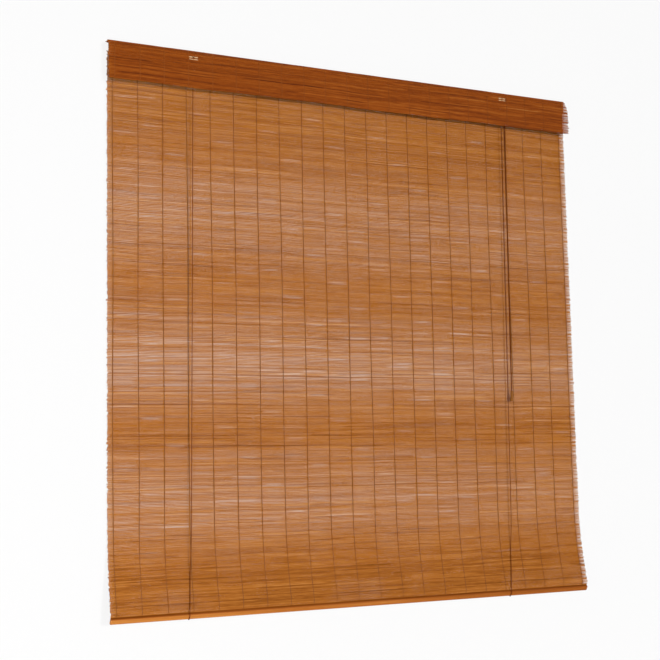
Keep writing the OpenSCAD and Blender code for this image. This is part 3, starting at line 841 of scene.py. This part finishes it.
def add_cord(weave, route, across, r=CORD_R, step=CORD_STEP):
    """Tube of two twisted strands along a route; across is roughly square to it."""
    points, marks = spaced(route, step)
    ahead = np.gradient(points, axis=0)
    angles = np.arange(CORD_SIDES) * 2 * math.pi / CORD_SIDES
    rings = []
    tones = []
    for point, step_ahead, mark in zip(points, ahead, marks):
        heading = unit(step_ahead)
        first = unit(np.cross(across, heading))
        second = np.cross(heading, first)
        strand = np.cos(2 * (angles - math.pi * mark / TWIST_PITCH))
        radii = r * (1 + LOBE / 2 * strand)
        spokes = np.cos(angles)[:, None] * first + np.sin(angles)[:, None] * second
        rings.append(point + radii[:, None] * spokes)
        # Painted shade: darker in the grooves between strands, lighter on their crowns
        tones.append(CORD_TONE + STRAND_PAINTED_SHADE * strand)
    u = np.arange(CORD_SIDES)[None].repeat(len(rings), axis=0) / CORD_SIDES
    v = (MAP_END + (1 - 2 * MAP_END) * marks / marks[-1])[:, None].repeat(CORD_SIDES, axis=1)
    weave.tube(np.array(rings), np.array(tones), np.stack([u, v], axis=-1),
               np.stack([u + 1 / CORD_SIDES, v], axis=-1))


def cord_piece(name, route, across, body):
    """One cord along a route, as one piece."""
    weave = Weave()
    add_cord(weave, route, across)
    return weave.piece(name, cord_look, body, "cord", smooth=True)


def arc(middle, r, start, end, steps=16):
    """Points of an arc in a plane, between two angles in degrees."""
    turns = np.radians(np.linspace(start, end, steps + 1))
    return [np.array(middle) + r * np.array([math.cos(a), math.sin(a)]) for a in turns]


def drifted(x, z, tuck=0):
    """Place across the blind of a hanging cord at a height; tuck is its shift over the curl."""
    depth = min(1, max(0, (curl_end[1] - z) / CURL_H))
    return x - max(0, hang_z - z) * CORD_DRIFT / 1000 - tuck * depth ** 2


lean_degrees = math.degrees(FOOT_LEAN)
foot_turn_r = FOOT_EDGE_R + CORD_OFF
foot_turn_u = FOOT_T / 2 - FOOT_EDGE_R
foot_turn_v = FOOT_W / 2 - FOOT_EDGE_R
BACK_TURN_R = 4
LEAVE_DEGREES = -190
BULGE_STEPS = 30
back_run_u = FOOT_T / 2 + (2 * MAT_HALF + THREAD_OFF) * math.cos(FOOT_LEAN) + CORD_OFF


def foot_place(u, v):
    """Place in the foot rail's own section: u towards the back, v up."""
    return foot_mid + foot_back * u + foot_up * v


def lift_route(x, tuck, section):
    """Route of a lift cord through the places of its section."""
    return [(drifted(x, z, tuck), y, z) for y, z in section]


def lift_sections(front_y):
    """Back run, loop under the foot rail and front run of a lift cord."""
    bulge_zs = np.linspace(curl_end[1], curl_start[1], BULGE_STEPS)
    back = [(back_run_y, join_z), (back_run_y, hang_z)]
    back += [(mat_mid(z) + cord_rise, z) for z in bulge_zs]
    back_turn = foot_place(back_run_u - BACK_TURN_R, BACK_TURN_R - foot_turn_v - foot_turn_r)
    loop = [back[-1]]
    loop += arc(back_turn, BACK_TURN_R, lean_degrees, lean_degrees - 90)
    loop += arc(foot_place(-foot_turn_u, -foot_turn_v), foot_turn_r, lean_degrees - 90, lean_degrees - 180)
    loop += arc(foot_place(-foot_turn_u, foot_turn_v), foot_turn_r, lean_degrees - 180, LEAVE_DEGREES)
    front = [(min(-front_y, mat_mid(z) - cord_rise), z) for z in bulge_zs[::-1][1:]]
    loop.append(front[0])
    front += [(-front_y, hang_z), (-front_y, join_z)]
    return back, loop, front


ACROSS_X = np.array([1.0, 0.0, 0.0])
ACROSS_Y = np.array([0.0, 1.0, 0.0])
lift_pieces = []
for side, x, front_y, tuck in (
        ("left", -cord_x, left_cord_y, LEFT_TUCK), ("right", cord_x, right_cord_y, RIGHT_TUCK)):
    back, loop, front = lift_sections(front_y)
    run = Weave()
    add_cord(run, lift_route(x, tuck, back), ACROSS_X)
    add_cord(run, lift_route(x, tuck, front), ACROSS_X)
    run_piece = run.piece(f"lift_runs_{side}", cord_look, "head", "cord", smooth=True)
    loop_piece = cord_piece(f"lift_loop_{side}", lift_route(x, tuck, loop), ACROSS_X, "foot")
    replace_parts(run_piece, f"lift_cord_{side}")
    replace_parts(loop_piece, f"lift_cord_{side}")
    lift_pieces.append(run_piece)
    tie = [(x, KNOT_SEAT - 1 - rail_t, tie_z)]
    tie += [(x, y, z) for y, z in arc((back_run_y - TIE_BEND_R, tie_z - TIE_BEND_R), TIE_BEND_R, 90, 0)]
    tie.append((x, back_run_y, join_z))
    tie_piece = cord_piece(f"tied_cord_{side}", tie, ACROSS_X, "head")
    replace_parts(tie_piece, f"tie_end_{side}")


def wheel_arc(x, y, start, end):
    """Stretch of a cord over a wheel, between two angles in degrees."""
    return [(px, -y, pz) for px, pz in arc((x, axle_z), WHEEL_RUN_R, start, end)]


head_left = [(-cord_x, -left_cord_y, join_z)]
head_left += wheel_arc(left_wheel_x, left_cord_y, 180, 90)
head_left += wheel_arc(lock_wheel_x, left_cord_y, 90, 0)
head_left.append((pull_x, -left_cord_y, join_z))
head_right = [(cord_x, -right_cord_y, join_z)]
head_right += wheel_arc(lock_wheel_x, right_cord_y, 180, 0)
head_right.append((pull_x, -right_cord_y, join_z))
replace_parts(cord_piece("head_run_left", head_left, ACROSS_Y, "head"), "head_cord_left")
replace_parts(cord_piece("head_run_right", head_right, ACROSS_Y, "head"), "head_cord_right")


PULL_CLEAR = 0.05


def pull_points(side):
    """Route of one pull cord from the lock to the knot in the tassel; side is 1 towards the wall."""
    spread = GROOVE_PITCH / 2
    close = CORD_R + PULL_CLEAR
    route = [(pull_x, side * spread - lock_y, z) for z in (join_z, hang_z)]
    for z, share in PULL_ROUTE:
        route.append((drifted(pull_x, z), side * max(close, spread * share) - lock_y, z))
    for z in (tassel_z, tassel_knot_z + TASSEL_KNOT_R / 2):
        route.append((tassel_x, side * close - lock_y, z))
    return np.array(route)


KNOT_TUBE_R = 0.95
KNOT_STEP = 0.7
KNOT_STEPS = 60
KNOT_DEPTH = 1.6
KNOT_ACROSS = np.array([0.3, 0.2, 0.93])


def add_knot(weave, middle, r):
    """Overhand knot pulled into a ball: a trefoil of the cord."""
    turns = np.linspace(0, 2 * math.pi, KNOT_STEPS)
    loop = np.stack([np.sin(turns) + 2 * np.sin(2 * turns), np.cos(turns) - 2 * np.cos(2 * turns),
                     -KNOT_DEPTH * np.sin(3 * turns)], axis=1)
    loop *= (r - KNOT_TUBE_R) / np.abs(loop).max()
    add_cord(weave, loop + middle, KNOT_ACROSS, KNOT_TUBE_R, KNOT_STEP)


knots = Weave()
for x in (-cord_x, cord_x):
    add_knot(knots, np.array([x, KNOT_SEAT - KNOT_D / 2 - rail_t, tie_z]), KNOT_D / 2)
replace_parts(knots.piece("tied_knots", cord_look, "head", "cord", smooth=True), "cord_knots")
end_knot = Weave()
add_knot(end_knot, np.array([tassel_x, -lock_y, tassel_knot_z]), TASSEL_KNOT_R)
end_knot_piece = end_knot.piece("pull_knot", cord_look, "head", "cord", smooth=True)
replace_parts(end_knot_piece, "tassel_knot")
for side, sign, far_end in (("left", -1, "fitting"), ("right", 1, "knot")):
    route = pull_points(sign)
    pull_piece = cord_piece(f"pull_run_{side}", route, ACROSS_Y, "head")
    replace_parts(pull_piece, f"pull_cord_{side}")


# Pieces that hang between the head and the foot get meshes of their own


def shorten(piece):
    """Gives a piece a mesh of its own."""
    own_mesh(piece)


for made in mat_pieces + [front_threads, back_threads]:
    shorten(made)
for made in lift_pieces:
    shorten(made)


# Camera at the photograph's viewing angle, which was fitted to the blind's corners and threads

CAMERA_PLACE = Vector((-1.7127, -3.2292, -1.1501))
CAMERA_YAW = 0.4647
CAMERA_PITCH = 0.1128
CAMERA_ROLL = -0.0206
FOCAL_PIXELS = 1272.0
IMAGE_PIXELS = 660
SENSOR_WIDTH = 36
CLIP_END = 50
camera_data = bpy.data.cameras.new("photo_camera")
camera_data.sensor_width = SENSOR_WIDTH
camera_data.lens = FOCAL_PIXELS / IMAGE_PIXELS * SENSOR_WIDTH
camera_data.clip_end = CLIP_END
camera = bpy.data.objects.new("photo_camera", camera_data)
ahead = Vector((
    math.sin(CAMERA_YAW) * math.cos(CAMERA_PITCH),
    math.cos(CAMERA_YAW) * math.cos(CAMERA_PITCH),
    math.sin(CAMERA_PITCH),
))
level = Vector((math.cos(CAMERA_YAW), -math.sin(CAMERA_YAW), 0))
rise = level.cross(ahead)
right = level * math.cos(CAMERA_ROLL) + rise * math.sin(CAMERA_ROLL)
up = rise * math.cos(CAMERA_ROLL) - level * math.sin(CAMERA_ROLL)
turn = Matrix((right, up, -ahead)).transposed()
camera.matrix_world = Matrix.Translation(CAMERA_PLACE) @ turn.to_4x4()
bpy.context.scene.collection.objects.link(camera)
bpy.context.scene.camera = camera


# Stage: a white wall that is seen only from the room, a pale floor, a key light from the right in front,
# and soft lamps at the left and behind

FLOOR_Z = -1.85
WALL_GAP = 0.0006
STAGE_HALF = 4.0


def stage_plane(name, corners, material):
    """One flat face of the stage."""
    mesh = bpy.data.meshes.new(name)
    mesh.from_pydata(corners, [], [(0, 1, 2, 3)])
    mesh.materials.append(material)
    made = bpy.data.objects.new(name, mesh)
    bpy.context.scene.collection.objects.link(made)


def seen_rays(tree):
    """Light path node, and a socket that is 1 for rays from the camera, off gloss and through glass."""
    path = tree.nodes.new("ShaderNodeLightPath")
    most = path.outputs["Is Camera Ray"]
    for kind in ("Is Glossy Ray", "Is Transmission Ray"):
        either = tree.nodes.new("ShaderNodeMath")
        either.operation = "MAXIMUM"
        tree.links.new(most, either.inputs[0])
        tree.links.new(path.outputs[kind], either.inputs[1])
        most = either.outputs[0]
    return path, most


WALL_GLOW = 0.88
WALL_WHITE = 0.98
WALL_COLOUR = (0.8, 0.8, 0.8, 1)
FLOOR_COLOUR = (0.86, 0.85, 0.83, 1)
wall_look = Look("wall_look", roughness=0.9, specular=0.1)
wall_look.shader.inputs["Base Color"].default_value = WALL_COLOUR
ray, background_ray = seen_rays(wall_look.tree)
glow = wall_look.node("ShaderNodeEmission")
glow.inputs["Strength"].default_value = WALL_WHITE
lit = wall_look.node("ShaderNodeMixShader")
wall_look.link(wall_look.math("MULTIPLY", background_ray, WALL_GLOW), lit.inputs["Fac"])
wall_look.link(wall_look.shader.outputs["BSDF"], lit.inputs[1])
wall_look.link(glow.outputs["Emission"], lit.inputs[2])
clear = wall_look.node("ShaderNodeBsdfTransparent")
facing = wall_look.node("ShaderNodeNewGeometry")
hidden = wall_look.math("MAXIMUM", facing.outputs["Backfacing"], ray.outputs["Is Shadow Ray"])
mix = wall_look.node("ShaderNodeMixShader")
wall_look.link(hidden, mix.inputs["Fac"])
wall_look.link(lit.outputs["Shader"], mix.inputs[1])
wall_look.link(clear.outputs["BSDF"], mix.inputs[2])
wall_look.link(mix.outputs["Shader"], wall_look.tree.nodes["Material Output"].inputs["Surface"])
stage_plane("wall", [
    (-STAGE_HALF, WALL_GAP, FLOOR_Z), (STAGE_HALF, WALL_GAP, FLOOR_Z),
    (STAGE_HALF, WALL_GAP, STAGE_HALF), (-STAGE_HALF, WALL_GAP, STAGE_HALF),
], wall_look.material)
floor_look = Look("floor_look", roughness=0.9, specular=0.1)
floor_look.shader.inputs["Base Color"].default_value = FLOOR_COLOUR
stage_plane("floor", [
    (-STAGE_HALF, -2 * STAGE_HALF, FLOOR_Z), (STAGE_HALF, -2 * STAGE_HALF, FLOOR_Z),
    (STAGE_HALF, 2 * STAGE_HALF, FLOOR_Z), (-STAGE_HALF, 2 * STAGE_HALF, FLOOR_Z),
], floor_look.material)

KEY_FROM = Vector((0.45, -1.0, 0.15))
KEY_STRENGTH = 2.36
KEY_SOFTNESS = math.radians(1.5)
AMBIENT = 0.18
FILL_PLACE = Vector((-2.3, -2.1, -1.2))
LAMP_AIM = Vector((0, 0, -0.75))
FILL_WATTS = 28
FILL_SIZE = 1.6
BACK_PLACE = Vector((0.9, 2.4, 0.1))
BACK_WATTS = 50
BACK_SIZE = 2.0


def lamp(name, kind, watts, towards):
    """A lamp whose light comes from a direction."""
    data = bpy.data.lights.new(name, kind)
    data.energy = watts
    made = bpy.data.objects.new(name, data)
    made.rotation_euler = towards.to_track_quat("Z", "Y").to_euler()
    bpy.context.scene.collection.objects.link(made)
    return made


key = lamp("key", "SUN", KEY_STRENGTH, KEY_FROM)
key.data.angle = KEY_SOFTNESS
for name, place, watts, size in (
        ("fill", FILL_PLACE, FILL_WATTS, FILL_SIZE), ("back", BACK_PLACE, BACK_WATTS, BACK_SIZE)):
    soft = lamp(name, "AREA", watts, place - LAMP_AIM)
    soft.location = place
    soft.data.size = size

world = bpy.data.worlds.new("studio")
bpy.context.scene.world = world
world.use_nodes = True
background = world.node_tree.nodes["Background"]
background.inputs["Color"].default_value = (1, 1, 1, 1)
level_mix = world.node_tree.nodes.new("ShaderNodeMapRange")
level_mix.inputs["To Min"].default_value = AMBIENT
level_mix.inputs["To Max"].default_value = 1.0
world.node_tree.links.new(seen_rays(world.node_tree)[1], level_mix.inputs["Value"])
world.node_tree.links.new(level_mix.outputs["Result"], background.inputs["Strength"])

bpy.context.scene.view_settings.view_transform = "Standard"
